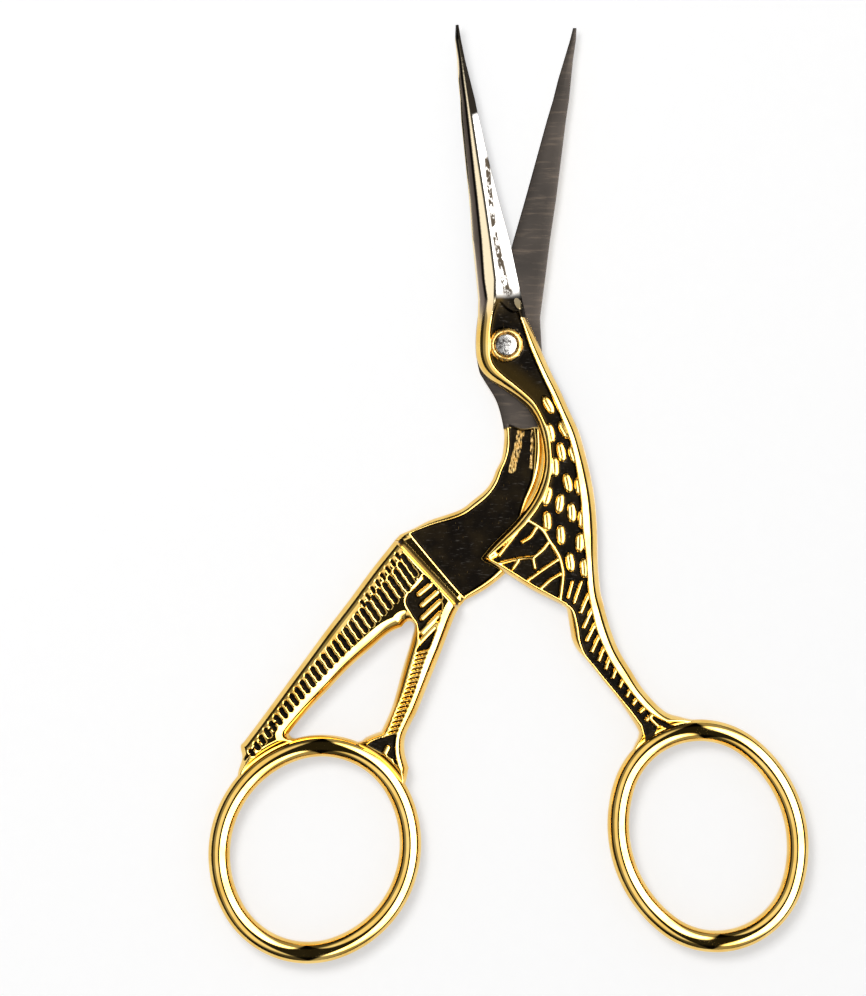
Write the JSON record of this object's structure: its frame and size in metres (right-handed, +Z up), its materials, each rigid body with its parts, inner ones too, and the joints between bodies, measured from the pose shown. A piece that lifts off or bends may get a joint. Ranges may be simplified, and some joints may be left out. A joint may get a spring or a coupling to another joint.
{
  "type": "embroidery scissors",
  "caption": "Small stork-shaped embroidery scissors: long beak blades, wing and legs in relief, oval finger rings, lapped halves that turn on a countersunk pivot screw.",
  "frame": {"origin": "point where the pivot's axis meets the table face on which the scissors lie", "axes": "+Y from the pivot towards the closed beak's tip, +Z up out of the outer face with the wing, +X to the right seen from above, towards the neck half's finger ring"},
  "size_m": [0.0589, 0.0921, 0.0032],
  "materials": {
    "gilding": "polished gold plating over steel, with black patina in the recessed fields; blades ground to bare steel on their inner faces and bevels",
    "bare_steel": "bare steel, end riveted over with a rough face"
  },
  "bodies": {
    "legs": {"leg_half": "gilding"},
    "neck": {"neck_half": "gilding", "pivot_screw": "bare_steel"}
  },
  "joints": [
    {"name": "pivot", "type": "hinge", "parent": "legs", "child": "neck", "pos_m": [0, 0, 0.00162], "axis": [0, 0, 1], "range_deg": [-20.6, 69.4]}
  ]
}
